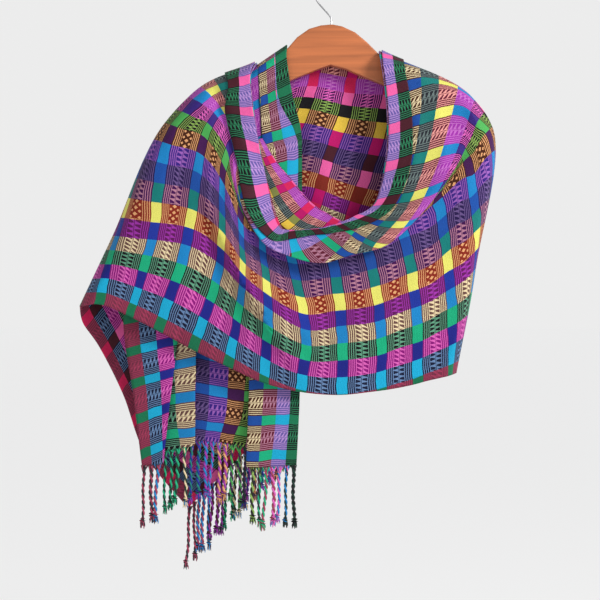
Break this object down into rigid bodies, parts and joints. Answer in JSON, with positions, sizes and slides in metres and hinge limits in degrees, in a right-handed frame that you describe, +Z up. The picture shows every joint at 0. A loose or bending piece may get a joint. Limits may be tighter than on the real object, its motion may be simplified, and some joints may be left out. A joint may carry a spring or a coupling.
{
  "type": "shawl on a wooden hanger",
  "caption": "Striped handwoven shawl with twisted fringe, wound round a flat arched wooden hanger with a wire hook.",
  "frame": {"origin": "inside top of the hook, where it rests on a rail or nail", "axes": "+Z up, -Y towards the viewer of the front, +X to that viewer's right"},
  "size_m": [0.5813, 0.0953, 0.8379],
  "materials": {
    "wood": "satin varnished, orange-brown",
    "wire": "dull grey wire",
    "cloth": "handwoven stripes and blocks in many colours, right side",
    "cloth_reverse": "the same weave from its reverse, in reds, pinks and golds",
    "fringe": "twisted yarn strands in the stripes' colours"
  },
  "bodies": {
    "root": {"hanger_board": "wood", "hanger_hook": "wire", "shawl_back_panel": "cloth_reverse", "shawl_front_wrap": "cloth", "shawl_collar_band": "cloth_reverse", "shawl_inner_fold": "cloth_reverse", "shawl_first_end": "cloth", "shawl_second_end": "cloth_reverse", "fringe_first_end": "fringe", "fringe_second_end": "fringe"}
  },
  "joints": []
}
